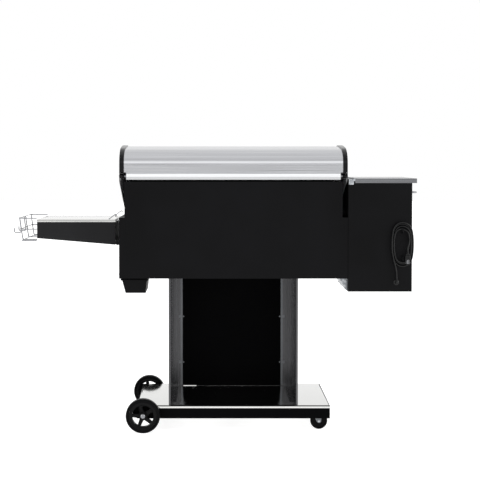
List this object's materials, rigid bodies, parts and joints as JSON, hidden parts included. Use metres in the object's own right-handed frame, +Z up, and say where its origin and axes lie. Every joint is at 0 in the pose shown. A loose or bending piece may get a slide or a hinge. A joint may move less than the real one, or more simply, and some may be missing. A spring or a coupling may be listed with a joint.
{
  "type": "pellet smoker grill",
  "caption": "Pellet smoker grill: barrel-lid cooking chamber on a wheeled cart, side pellet hopper with auger and fan, fold-down shelf with wire basket.",
  "frame": {"origin": "on the floor, in the middle of the grill's outline seen from above", "axes": "+Z up, -Y towards the front where the user stands, +X from the hopper towards the side shelf"},
  "size_m": [1.804, 0.701, 1.2572],
  "materials": {
    "black_powder_coat": "satin black powder coat",
    "stainless_brushed": "brushed stainless steel",
    "stainless_polished": "polished stainless steel",
    "galvanised": "bare zinc-coated sheet",
    "chrome_wire": "chromed steel wire",
    "raw_steel": "plain steel",
    "cast_iron": "seasoned cast iron",
    "tyre_rubber": "black rubber",
    "black_plastic": "black moulded plastic",
    "display_glass": "dark display window",
    "cord_rubber": "black rubber cord"
  },
  "bodies": {
    "grill": {"air_duct": "galvanised", "auger_motor": "raw_steel", "auger_tube": "raw_steel", "base_frame": "black_powder_coat", "base_shelf": "stainless_polished", "body_floor": "black_powder_coat", "body_front_panel": "black_powder_coat", "body_rear_panel": "black_powder_coat", "body_side_hopper": "black_powder_coat", "body_side_shelf": "black_powder_coat", "column_hopper_side": "stainless_brushed", "column_shelf_side": "stainless_brushed", "control_display": "display_glass", "control_panel": "black_plastic", "cord_coil": "cord_rubber", "cord_gland": "black_plastic", "cord_hooks": "black_powder_coat", "cord_lead": "cord_rubber", "cord_plug": "cord_rubber", "cord_tail": "cord_rubber", "fan_housing": "galvanised", "fire_pot": "raw_steel", "front_panel": "black_powder_coat", "grate_rails": "black_powder_coat", "grease_chute": "galvanised", "grease_pan": "raw_steel", "heat_diffuser": "raw_steel", "hopper_casing": "black_powder_coat", "hopper_funnel": "galvanised", "hopper_hinge": "galvanised", "hopper_side_handle": "chrome_wire", "igniter": "raw_steel", "lid_hinge_brackets": "black_powder_coat", "lid_hinge_pins": "chrome_wire", "panel_fixings": "galvanised", "side_shelf_brackets": "black_powder_coat", "temperature_probe": "raw_steel", "wheel_axle": "chrome_wire"},
    "lid": {"lid_skin": "stainless_brushed", "lid_caps": "black_powder_coat", "lid_handle": "stainless_brushed", "lid_handle_posts": "stainless_brushed"},
    "hopper_lid": {"hopper_lid": "stainless_brushed"},
    "side_shelf": {"side_shelf_top": "stainless_polished", "side_shelf_frame": "black_powder_coat", "wire_basket": "chrome_wire"},
    "rear_wheel": {"rear_wheel_tyre": "tyre_rubber", "rear_wheel_rim": "black_plastic"},
    "front_wheel": {"front_wheel_tyre": "tyre_rubber", "front_wheel_rim": "black_plastic"},
    "rear_caster": {"rear_caster_fork": "galvanised"},
    "rear_caster_roller": {"rear_caster_wheel": "tyre_rubber"},
    "front_caster": {"front_caster_fork": "galvanised"},
    "front_caster_roller": {"front_caster_wheel": "tyre_rubber"},
    "grease_drawer": {"grease_drawer": "black_powder_coat"},
    "knob": {"control_knob": "black_plastic"},
    "power_switch": {"power_switch": "black_plastic"},
    "auger": {"auger_screw": "raw_steel"},
    "fan": {"fan_impeller": "black_plastic"},
    "cooking_grates": {"cooking_grates": "cast_iron"}
  },
  "joints": [
    {"name": "lid_hinge", "type": "hinge", "parent": "grill", "child": "lid", "pos_m": [-0.08, 0.29, 1.12], "axis": [-1, 0, 0], "range_deg": [0, 88]},
    {"name": "hopper_lid_hinge", "type": "hinge", "parent": "grill", "child": "hopper_lid", "pos_m": [-0.607, 0.07, 1.109], "axis": [0, 1, 0], "range_deg": [0, 92]},
    {"name": "shelf_fold", "type": "hinge", "parent": "grill", "child": "side_shelf", "pos_m": [0.432, 0.02, 0.822], "axis": [0, 1, 0], "range_deg": [0, 90]},
    {"name": "rear_wheel_spin", "type": "hinge", "parent": "grill", "child": "rear_wheel", "pos_m": [0.315, 0.328, 0.075], "axis": [0, 1, 0], "continuous": true},
    {"name": "front_wheel_spin", "type": "hinge", "parent": "grill", "child": "front_wheel", "pos_m": [0.315, -0.288, 0.075], "axis": [0, 1, 0], "continuous": true},
    {"name": "rear_caster_swivel", "type": "hinge", "parent": "grill", "child": "rear_caster", "pos_m": [-0.447, 0.242, 0.085], "axis": [0, 0, 1], "continuous": true},
    {"name": "rear_caster_roll", "type": "hinge", "parent": "rear_caster", "child": "rear_caster_roller", "pos_m": [-0.459, 0.242, 0.038], "axis": [0, 1, 0], "continuous": true},
    {"name": "front_caster_swivel", "type": "hinge", "parent": "grill", "child": "front_caster", "pos_m": [-0.447, -0.202, 0.085], "axis": [0, 0, 1], "continuous": true},
    {"name": "front_caster_roll", "type": "hinge", "parent": "front_caster", "child": "front_caster_roller", "pos_m": [-0.459, -0.202, 0.038], "axis": [0, 1, 0], "continuous": true},
    {"name": "grease_drawer_slide", "type": "slide", "parent": "grill", "child": "grease_drawer", "axis": [0, -1, 0], "range_m": [0, 0.16]},
    {"name": "grates_lift_out", "type": "slide", "parent": "grill", "child": "cooking_grates", "axis": [0, 0, 1], "range_m": [0, 0.1]},
    {"name": "temperature_knob_turn", "type": "hinge", "parent": "grill", "child": "knob", "pos_m": [-0.67, -0.21, 0.99], "axis": [0, -1, 0], "range_deg": [0, 270]},
    {"name": "power_switch_rock", "type": "hinge", "parent": "grill", "child": "power_switch", "pos_m": [-0.68, -0.198, 0.94], "axis": [1, 0, 0], "range_deg": [0, 12]},
    {"name": "auger_spin", "type": "hinge", "parent": "grill", "child": "auger", "pos_m": [-0.48, 0.02, 0.725], "axis": [1, 0, 0], "continuous": true},
    {"name": "fan_spin", "type": "hinge", "parent": "grill", "child": "fan", "pos_m": [-0.64, 0.21, 0.654], "axis": [0, 1, 0], "continuous": true}
  ]
}
